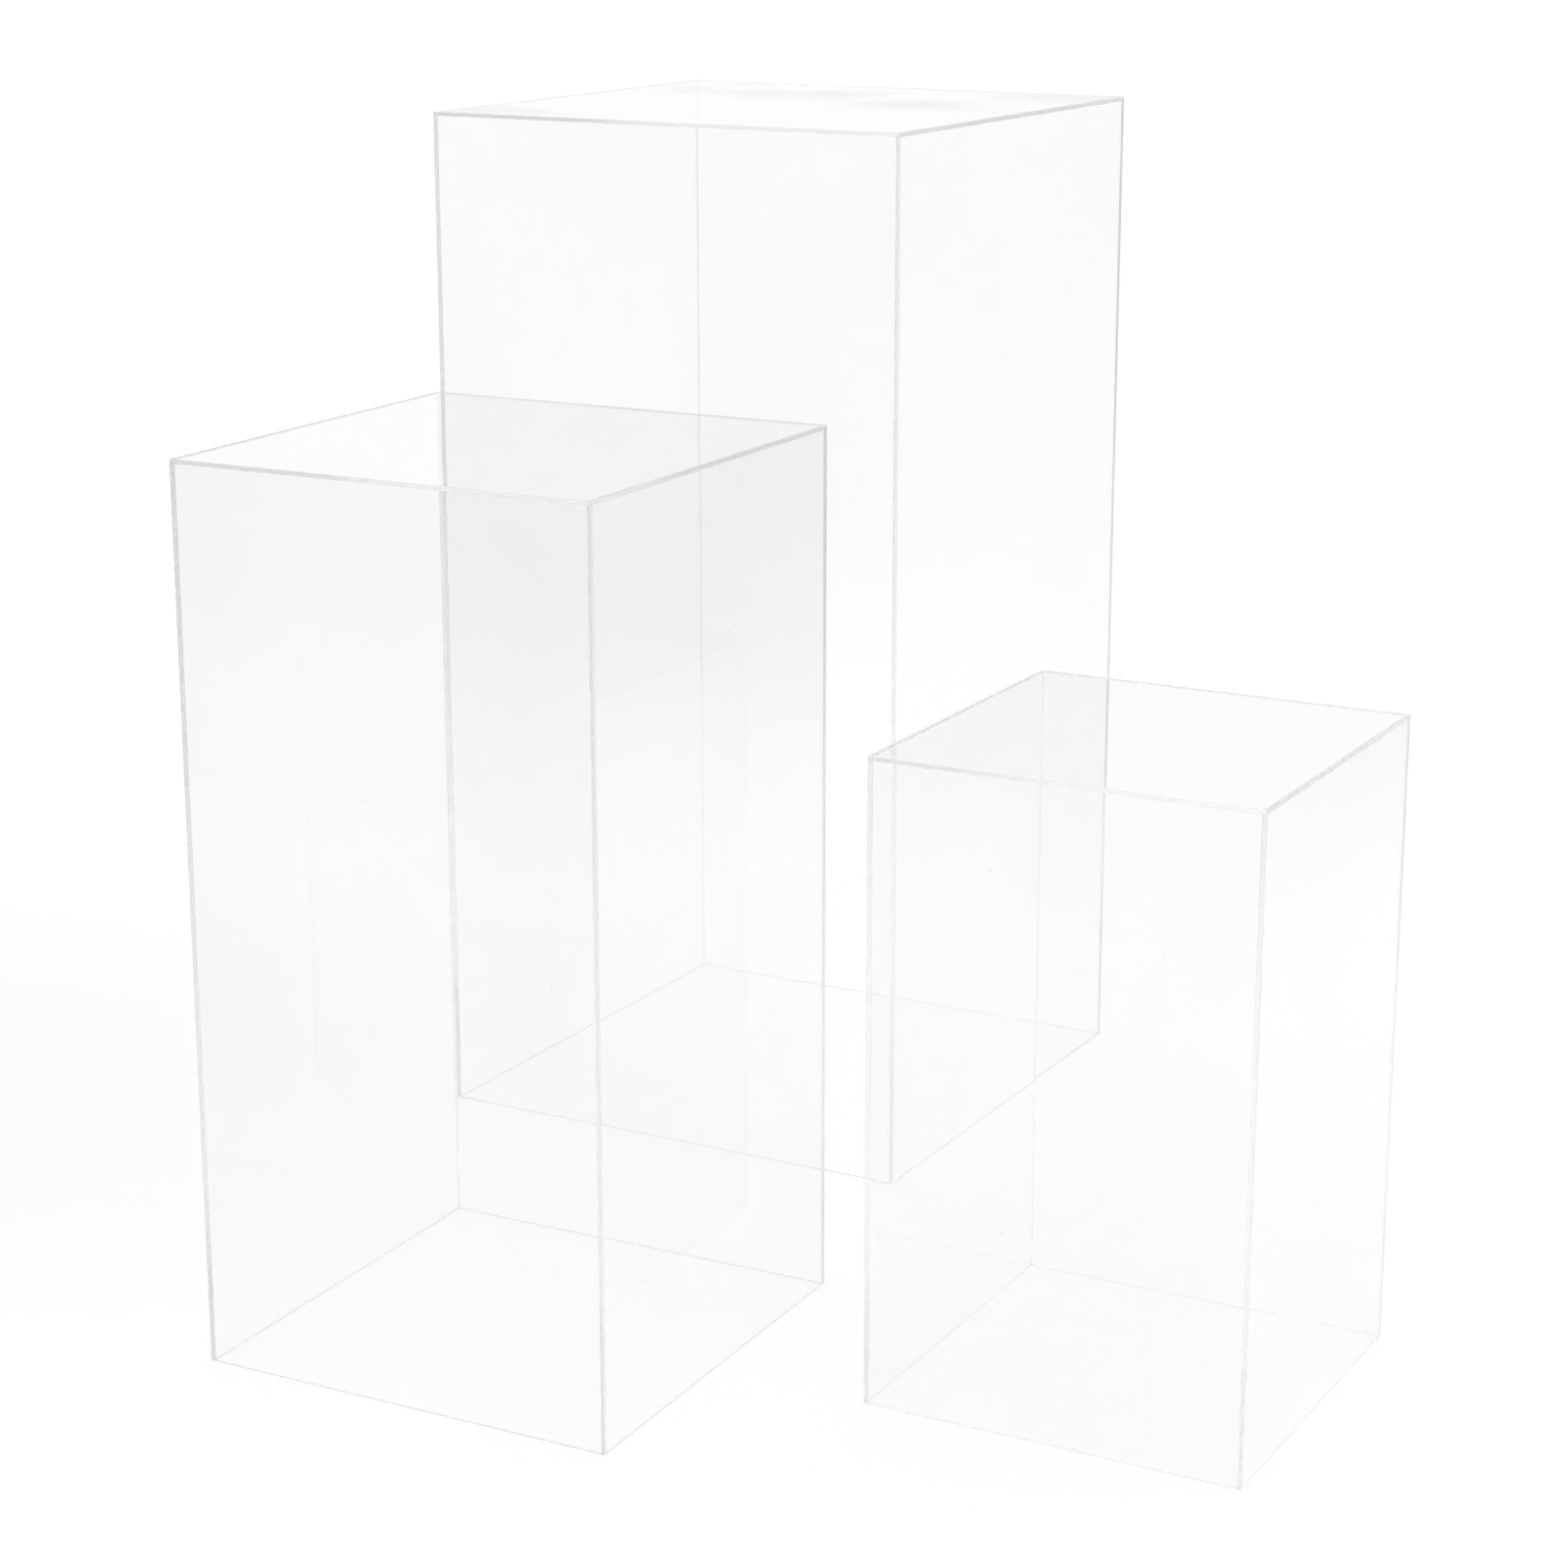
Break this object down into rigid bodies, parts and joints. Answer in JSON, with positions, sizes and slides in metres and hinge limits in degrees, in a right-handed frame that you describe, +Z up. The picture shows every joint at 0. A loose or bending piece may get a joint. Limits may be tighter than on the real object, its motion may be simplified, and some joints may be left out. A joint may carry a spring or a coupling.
{
  "type": "nesting display plinth set",
  "caption": "Free-standing clear acrylic display plinths in stepped sizes, each an open-bottomed square box of cemented flat panels that nests inside the next.",
  "frame": {"origin": "on the floor, under the middle of the box round all three plinths", "axes": "+Z up; the tall plinth's walls are square to X and Y and its front wall faces -Y; the medium plinth stands in front of it at -Y and the small one towards +X"},
  "size_m": [0.9323, 1.0236, 0.9],
  "materials": {
    "clear_acrylic": "clear, gloss faces and flame-polished edges"
  },
  "bodies": {
    "small_plinth": {"small_top_panel": "clear_acrylic", "small_front_wall": "clear_acrylic", "small_back_wall": "clear_acrylic", "small_left_wall": "clear_acrylic", "small_right_wall": "clear_acrylic"},
    "medium_plinth": {"medium_top_panel": "clear_acrylic", "medium_front_wall": "clear_acrylic", "medium_back_wall": "clear_acrylic", "medium_left_wall": "clear_acrylic", "medium_right_wall": "clear_acrylic"},
    "tall_plinth": {"tall_top_panel": "clear_acrylic", "tall_front_wall": "clear_acrylic", "tall_back_wall": "clear_acrylic", "tall_left_wall": "clear_acrylic", "tall_right_wall": "clear_acrylic"}
  },
  "joints": [
    {"name": "medium_lift", "type": "slide", "parent": "small_plinth", "child": "medium_plinth", "axis": [0, 0, 1], "range_m": [0, 0.52]},
    {"name": "tall_lift", "type": "slide", "parent": "small_plinth", "child": "tall_plinth", "axis": [0, 0, 1], "range_m": [0, 0.72]}
  ]
}
